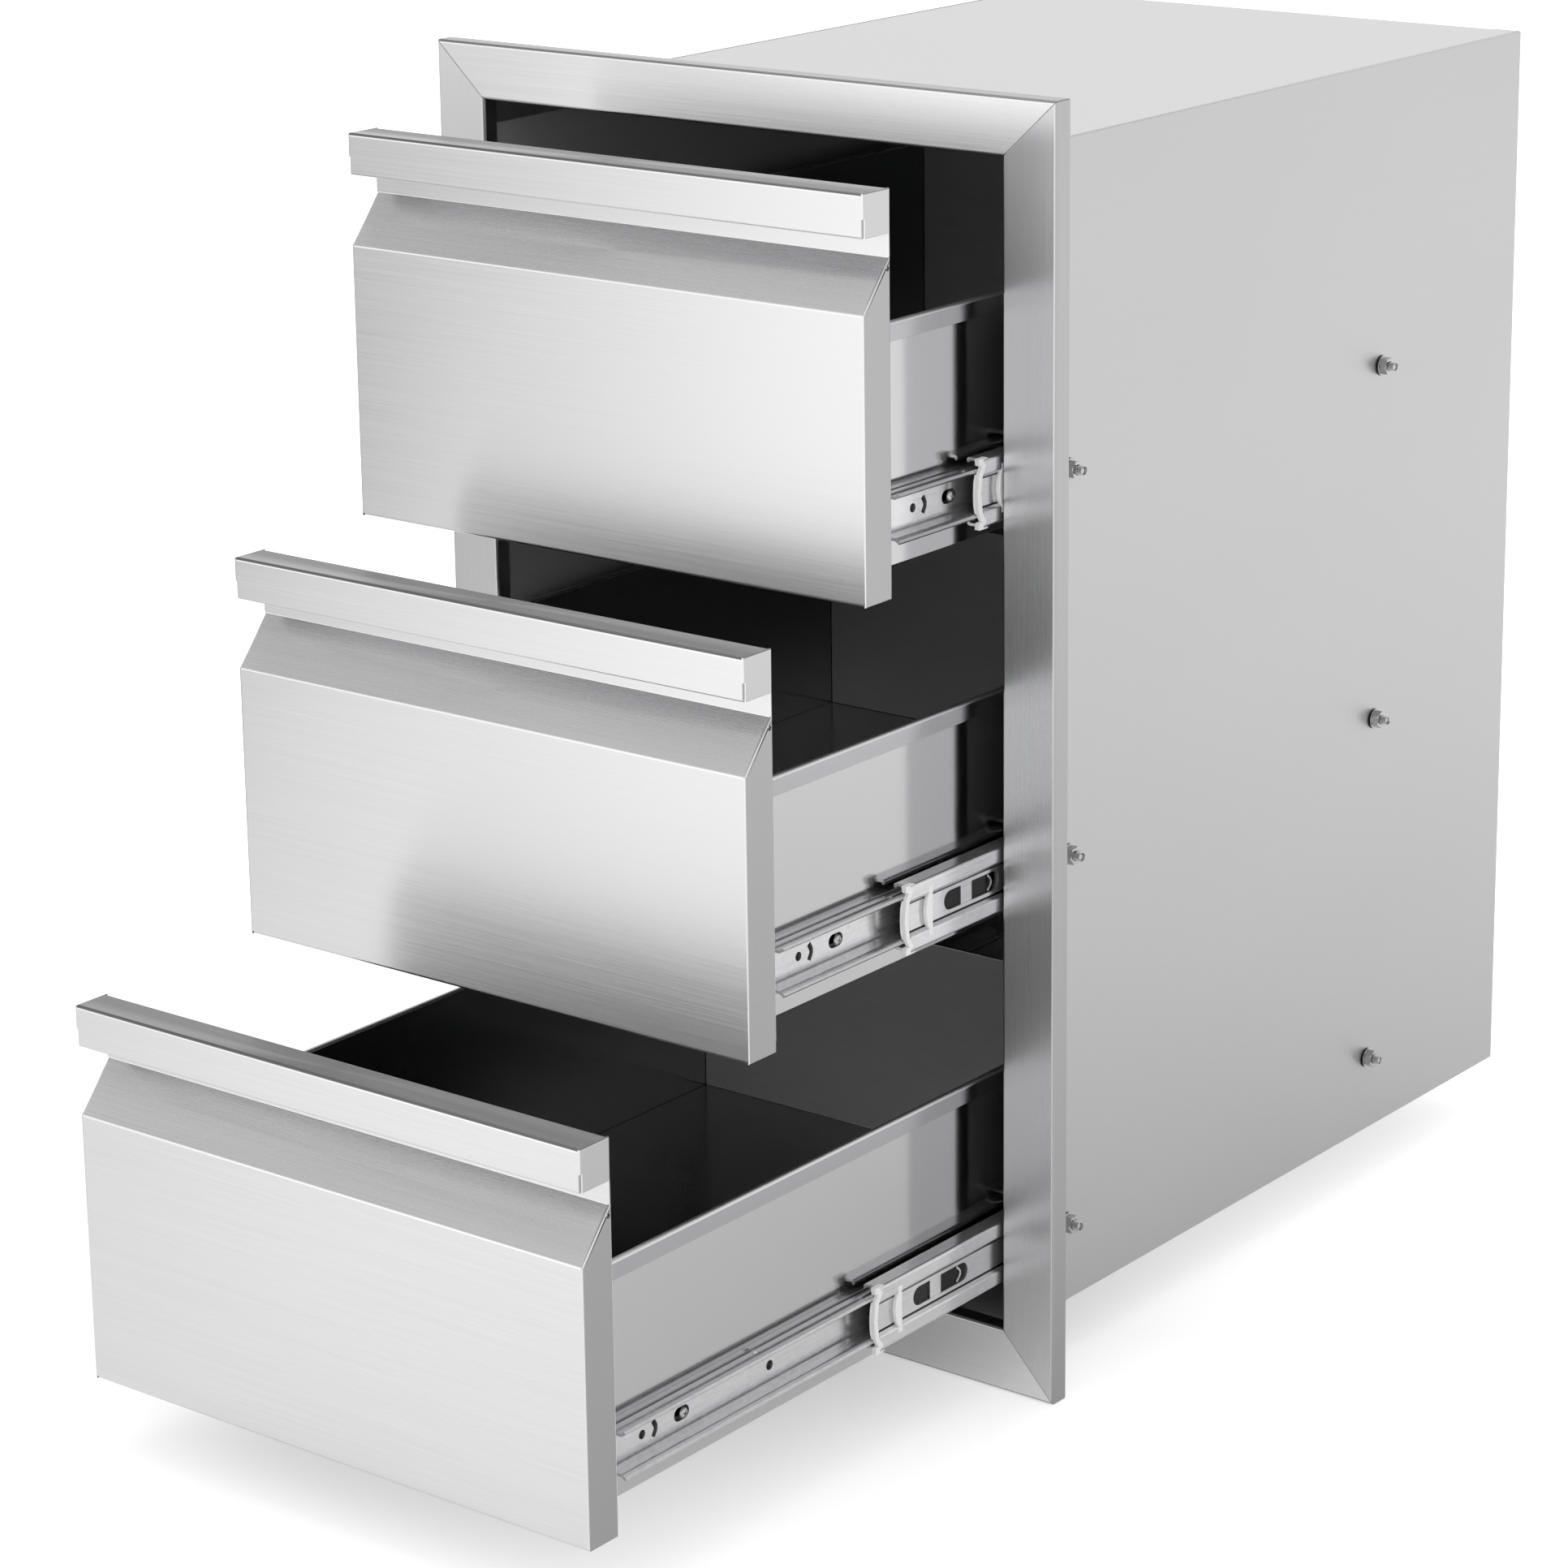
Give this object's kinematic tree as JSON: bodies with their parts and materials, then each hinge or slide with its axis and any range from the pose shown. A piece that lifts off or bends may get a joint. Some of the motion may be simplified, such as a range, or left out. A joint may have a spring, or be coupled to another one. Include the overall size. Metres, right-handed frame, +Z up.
{
  "type": "outdoor kitchen drawer unit",
  "caption": "Built-in outdoor kitchen drawer unit: steel cabinet with a mitred face frame and flush drawers, each with a folded lip handle, on ball bearing slides.",
  "frame": {"origin": "middle of the seat face of the face frame's bottom rail, on the plane of the island's face", "axes": "+X to the right seen from the front, +Y into the cabinet, +Z up"},
  "size_m": [0.3226, 0.6747, 0.548],
  "materials": {
    "brushed_stainless_steel": "horizontal brushed grain",
    "dull_inner_steel": "mill finish, brushed",
    "zinc_plated_steel": "bright zinc plate",
    "white_plastic": "moulded satin"
  },
  "bodies": {
    "cabinet": {"face_frame_bottom_rail": "brushed_stainless_steel", "face_frame_top_rail": "brushed_stainless_steel", "face_frame_left_stile": "brushed_stainless_steel", "face_frame_right_stile": "brushed_stainless_steel", "cabinet_left_side": "brushed_stainless_steel", "cabinet_right_side": "brushed_stainless_steel", "cabinet_top": "brushed_stainless_steel", "cabinet_bottom": "brushed_stainless_steel", "cabinet_back": "brushed_stainless_steel", "slide_top_left_outer": "zinc_plated_steel", "slide_bolt_top_left_front": "zinc_plated_steel", "slide_bolt_top_left_rear": "zinc_plated_steel", "slide_top_right_outer": "zinc_plated_steel", "slide_bolt_top_right_front": "zinc_plated_steel", "slide_bolt_top_right_rear": "zinc_plated_steel", "slide_middle_left_outer": "zinc_plated_steel", "slide_bolt_middle_left_front": "zinc_plated_steel", "slide_bolt_middle_left_rear": "zinc_plated_steel", "slide_middle_right_outer": "zinc_plated_steel", "slide_bolt_middle_right_front": "zinc_plated_steel", "slide_bolt_middle_right_rear": "zinc_plated_steel", "slide_bottom_left_outer": "zinc_plated_steel", "slide_bolt_bottom_left_front": "zinc_plated_steel", "slide_bolt_bottom_left_rear": "zinc_plated_steel", "slide_bottom_right_outer": "zinc_plated_steel", "slide_bolt_bottom_right_front": "zinc_plated_steel", "slide_bolt_bottom_right_rear": "zinc_plated_steel"},
    "slide_carriage_top_left": {"slide_top_left_middle": "zinc_plated_steel", "slide_top_left_end_stop": "white_plastic"},
    "slide_carriage_top_right": {"slide_top_right_middle": "zinc_plated_steel", "slide_top_right_end_stop": "white_plastic"},
    "drawer_top": {"drawer_top_front_panel": "brushed_stainless_steel", "drawer_top_front_liner": "dull_inner_steel", "drawer_top_floor_and_back": "dull_inner_steel", "drawer_top_left_wall": "brushed_stainless_steel", "slide_top_left_inner": "zinc_plated_steel", "drawer_top_right_wall": "brushed_stainless_steel", "slide_top_right_inner": "zinc_plated_steel"},
    "slide_carriage_middle_left": {"slide_middle_left_middle": "zinc_plated_steel", "slide_middle_left_end_stop": "white_plastic"},
    "slide_carriage_middle_right": {"slide_middle_right_middle": "zinc_plated_steel", "slide_middle_right_end_stop": "white_plastic"},
    "drawer_middle": {"drawer_middle_front_panel": "brushed_stainless_steel", "drawer_middle_front_liner": "dull_inner_steel", "drawer_middle_floor_and_back": "dull_inner_steel", "drawer_middle_left_wall": "brushed_stainless_steel", "slide_middle_left_inner": "zinc_plated_steel", "drawer_middle_right_wall": "brushed_stainless_steel", "slide_middle_right_inner": "zinc_plated_steel"},
    "slide_carriage_bottom_left": {"slide_bottom_left_middle": "zinc_plated_steel", "slide_bottom_left_end_stop": "white_plastic"},
    "slide_carriage_bottom_right": {"slide_bottom_right_middle": "zinc_plated_steel", "slide_bottom_right_end_stop": "white_plastic"},
    "drawer_bottom": {"drawer_bottom_front_panel": "brushed_stainless_steel", "drawer_bottom_front_liner": "dull_inner_steel", "drawer_bottom_floor_and_back": "dull_inner_steel", "drawer_bottom_left_wall": "brushed_stainless_steel", "slide_bottom_left_inner": "zinc_plated_steel", "drawer_bottom_right_wall": "brushed_stainless_steel", "slide_bottom_right_inner": "zinc_plated_steel"}
  },
  "joints": [
    {"name": "top_drawer_slide", "type": "slide", "parent": "cabinet", "child": "drawer_top", "axis": [0, -1, 0], "range_m": [-0.0874, 0.2626]},
    {"name": "top_left_carriage_slide", "type": "slide", "parent": "cabinet", "child": "slide_carriage_top_left", "axis": [0, -1, 0], "range_m": [-0.0334, 0.0999]},
    {"name": "top_right_carriage_slide", "type": "slide", "parent": "cabinet", "child": "slide_carriage_top_right", "axis": [0, -1, 0], "range_m": [-0.0334, 0.0999]},
    {"name": "middle_drawer_slide", "type": "slide", "parent": "cabinet", "child": "drawer_middle", "axis": [0, -1, 0], "range_m": [-0.1639, 0.1861]},
    {"name": "middle_left_carriage_slide", "type": "slide", "parent": "cabinet", "child": "slide_carriage_middle_left", "axis": [0, -1, 0], "range_m": [-0.0837, 0.0951]},
    {"name": "middle_right_carriage_slide", "type": "slide", "parent": "cabinet", "child": "slide_carriage_middle_right", "axis": [0, -1, 0], "range_m": [-0.0837, 0.0951]},
    {"name": "bottom_drawer_slide", "type": "slide", "parent": "cabinet", "child": "drawer_bottom", "axis": [0, -1, 0], "range_m": [-0.2647, 0.0853]},
    {"name": "bottom_left_carriage_slide", "type": "slide", "parent": "cabinet", "child": "slide_carriage_bottom_left", "axis": [0, -1, 0], "range_m": [-0.106, 0.0343]},
    {"name": "bottom_right_carriage_slide", "type": "slide", "parent": "cabinet", "child": "slide_carriage_bottom_right", "axis": [0, -1, 0], "range_m": [-0.106, 0.0343]}
  ],
  "couplings": [
    {"joint": "top_left_carriage_slide", "follows": "top_drawer_slide", "ratio": 0.38},
    {"joint": "top_right_carriage_slide", "follows": "top_drawer_slide", "ratio": 0.38},
    {"joint": "middle_left_carriage_slide", "follows": "middle_drawer_slide", "ratio": 0.51},
    {"joint": "middle_right_carriage_slide", "follows": "middle_drawer_slide", "ratio": 0.51},
    {"joint": "bottom_left_carriage_slide", "follows": "bottom_drawer_slide", "ratio": 0.4},
    {"joint": "bottom_right_carriage_slide", "follows": "bottom_drawer_slide", "ratio": 0.4}
  ]
}
